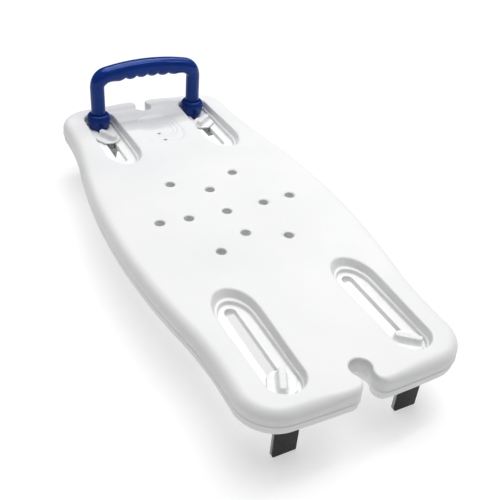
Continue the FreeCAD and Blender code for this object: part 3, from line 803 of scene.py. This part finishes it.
def build_handle():
    shell = Shell()
    count = 56
    rows = []
    for y, z, ny, nz in handle_path(1.0):
        lift = float(smooth((z - GRIP_FROM) / GRIP_BLEND))
        radius = LEG_R + (GRIP_R - LEG_R) * lift
        swell = finger_lobe(y) * lift
        row = []
        for i in range(count):
            t = 2 * math.pi * i / count
            out, side = math.cos(t), math.sin(t)
            under = max(0.0, -out)
            reach = radius + swell * under ** 1.6
            row.append((HANDLE_X + reach * side, y + ny * reach * out, z + nz * reach * out))
        rows.append(row)
    made = shell.loft(rows)
    # lower ends with the insert's socket
    for ring, side in ((made[0], 1), (made[-1], -1)):
        y = side * SLOT_Y
        outer = [shell.points[i] for i in ring]
        part = INSERT_SEAT_R / LEG_R
        mouth = [(HANDLE_X + (px - HANDLE_X) * part, y + (py - y) * part, LEG_FOOT) for px, py, _ in outer]
        socket = [(px, py, LEG_FOOT + SOCKET_DEPTH) for px, py, _ in mouth]
        rings = shell.loft([outer, mouth, socket])
        shell.cap(rings[-1])
    return make_piece("grab_handle", shell, BLUE, "board", ["handle_grip"])


def build_foot(hand, y):
    """Collar round a leg: waisted neck, bevelled shoulder, and a tongue in the slot."""
    shell = Shell()
    count = 64
    profile = [(LEG_R + 0.25, 5.0), (LEG_R + 0.25, 22.0), (LEG_R + 0.5, 22.9), (LEG_R + 1.1, 23.4),
               (13.2, 23.5), (14.3, 23.2), (15.4, 22.5), (16.6, 21.3), (17.6, 19.8), (18.2, 18.1),
               (18.4, 16.4),
               (18.3, 14.6), (17.9, 12.6), (17.3, 10.0), (16.7, 7.0), (16.2, 3.5), (16.0, 1.2), (15.6, 0.4),
               (15.0, FOOT_BASE)]
    rows = [circle(0, 0, r, z, count) for r, z in profile]
    made = shell.loft(rows)
    inner = made[0]
    bore_top = circle(0, 0, FOOT_BORE_R, LEG_FOOT - FLOOR_TOP, count)
    bore_foot = circle(0, 0, FOOT_BORE_R, TONGUE_FOOT, count)
    shell.loft([[shell.points[i] for i in inner], bore_top, bore_foot])
    # tongue with a rounded lower edge
    x1 = SLOT_OUTER - HANDLE_X - 0.3
    tongue = [capsule(TONGUE_BACK + inset, x1 - inset, 0, 6.7 - inset, z)
              for inset, z in ((0.0, FOOT_BASE), (0.0, -5.2), (0.2, -5.75), (0.7, TONGUE_FOOT))]
    shell.loft(tongue)
    fill(shell, rows[-1], [tongue[0]], lambda px, py: FOOT_BASE, 4.0, (), -1)
    fill(shell, tongue[-1], [bore_foot], lambda px, py: TONGUE_FOOT, 4.0, (), -1)
    shell.points = [(HANDLE_X + px, y + py, FLOOR_TOP + pz) for px, py, pz in shell.points]
    return make_piece("handle_collar_" + hand, shell, BLUE, "board", ["handle_foot_" + hand])


# ---------------------------------------------------------------- brackets and pads

def softened(name, node, material, body, width):
    """A copy of a CAD node's solid with clean faces and rounded edges."""
    work = bmesh.new()
    work.from_mesh(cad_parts[node].data)
    bmesh.ops.remove_doubles(work, verts=work.verts, dist=1e-6)
    bmesh.ops.dissolve_limit(work, angle_limit=math.radians(1.0), verts=work.verts, edges=work.edges)
    edges = [e for e in work.edges if len(e.link_faces) == 2 and e.calc_face_angle(0.0) > math.radians(50)]
    bmesh.ops.bevel(work, geom=edges, offset=width * MM, offset_type="OFFSET", segments=2, profile=0.5,
                    affect="EDGES", clamp_overlap=True)
    bmesh.ops.triangulate(work, faces=[f for f in work.faces if len(f.verts) > 4])
    mesh = bpy.data.meshes.new(name)
    work.to_mesh(mesh)
    work.free()
    return dress(name, mesh, material, body, [node], 38.0)


# ---------------------------------------------------------------- put together

build_board()
for name, (x, y, turn) in CLAMPS.items():
    build_knob(name, x, y, turn)
    softened("clamp_bracket_" + name, "bracket_" + name, BRACKET_GREY, "hanger_" + name,
             0.45)
    softened("wall_pad_" + name, "pad_" + name, RUBBER, "hanger_" + name, 0.7)
build_handle()
build_foot("left", SLOT_Y)
build_foot("right", -SLOT_Y)

KEPT = {"washer_": NYLON, "clamp_bolt_": STEEL, "knob_insert_": BRASS, "leg_insert_": BRASS,
        "handle_washer_": STEEL, "handle_bolt_": STEEL}
for node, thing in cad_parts.items():
    for start, material in KEPT.items():
        if node.startswith(start):
            thing.data.materials.clear()
            thing.data.materials.append(material)


# ---------------------------------------------------------------- floor, light and camera

FLOOR_REACH = 6.0
FLOOR_GREY = 0.53
FLOOR_GLOW = 0.53
WORLD_STRENGTH = 0.05
KEY_ENERGY = 2.15
KEY_ANGLE = 50.0
KEY_FROM = Vector((0.14, -0.06, 1.0))
STRIP_WIDTH = 0.03
STRIP_LENGTH = 1.5
STRIP_POWER = 5.6
STRIPS = {"strip_front": (-0.15, -0.57, 1.37), "strip_back": (0.93, -0.57, 1.29)}


def stage_floor():
    material, _, shader = new_material("studio_floor", (FLOOR_GREY,) * 3, 1.0, Specular_IOR_Level=0.0)
    shader.inputs["Emission Color"].default_value = (1.0, 1.0, 1.0, 1.0)
    shader.inputs["Emission Strength"].default_value = FLOOR_GLOW
    mesh = bpy.data.meshes.new("studio_floor")
    corners = [(FLOOR_REACH * x, FLOOR_REACH * y, 0) for x, y in ((-1, -1), (1, -1), (1, 1), (-1, 1))]
    mesh.from_pydata(corners, [], [(0, 1, 2, 3)])
    mesh.materials.append(material)
    floor = bpy.data.objects.new("studio_floor", mesh)
    bpy.context.scene.collection.objects.link(floor)


def strip_light(name, spot, target):
    """A long narrow light that faces the target, with its long side across the board."""
    data = bpy.data.lights.new(name, "AREA")
    data.shape = "RECTANGLE"
    data.size = STRIP_WIDTH
    data.size_y = STRIP_LENGTH
    data.energy = STRIP_POWER
    light = bpy.data.objects.new(name, data)
    back = (Vector(spot) - Vector(target)).normalized()
    along = (Vector((0, 1, 0)) - back * back.y).normalized()
    turn = Matrix((along.cross(back), along, back)).transposed().to_4x4()
    light.matrix_world = Matrix.Translation(spot) @ turn
    bpy.context.scene.collection.objects.link(light)


def studio():
    world = bpy.data.worlds.new("studio")
    world.use_nodes = True
    world.node_tree.nodes["Background"].inputs["Color"].default_value = (1.0, 1.0, 1.0, 1.0)
    world.node_tree.nodes["Background"].inputs["Strength"].default_value = WORLD_STRENGTH
    scene = bpy.context.scene
    scene.world = world
    scene.view_settings.view_transform = "Standard"
    scene.view_settings.look = "None"
    key = bpy.data.lights.new("key", "SUN")
    key.energy = KEY_ENERGY
    key.angle = math.radians(KEY_ANGLE)
    sun = bpy.data.objects.new("key", key)
    sun.rotation_euler = KEY_FROM.to_track_quat("Z", "Y").to_euler()
    bpy.context.scene.collection.objects.link(sun)
    # narrow strips that draw the streaks along the handle
    grip = (HANDLE_X * MM, 0.0, CROWN_Z * MM)
    for name, spot in STRIPS.items():
        strip_light(name, spot, grip)


CAMERA_TARGET = Vector((-0.0966, 0.0154, 0.098))
CAMERA_DISTANCE = 0.89365
CAMERA_AZIMUTH = 149.70
CAMERA_ELEVATION = 36.53
CAMERA_ROLL = 5.33
CAMERA_LENS = 52.42


def make_camera():
    az, el, roll = (math.radians(v) for v in (CAMERA_AZIMUTH, CAMERA_ELEVATION, CAMERA_ROLL))
    back = Vector((math.cos(el) * math.cos(az), math.cos(el) * math.sin(az), math.sin(el)))
    right = (-back).cross(Vector((0, 0, 1))).normalized()
    up = right.cross(-back)
    across = math.cos(roll) * right + math.sin(roll) * up
    above = -math.sin(roll) * right + math.cos(roll) * up
    data = bpy.data.cameras.new("camera")
    data.lens = CAMERA_LENS
    data.sensor_width = 36.0
    data.clip_start = 0.01
    data.dof.use_dof = False
    camera = bpy.data.objects.new("camera", data)
    turn = Matrix((across, above, back)).transposed().to_4x4()
    camera.matrix_world = Matrix.Translation(CAMERA_TARGET + CAMERA_DISTANCE * back) @ turn
    bpy.context.scene.collection.objects.link(camera)
    bpy.context.scene.camera = camera


stage_floor()
studio()
make_camera()
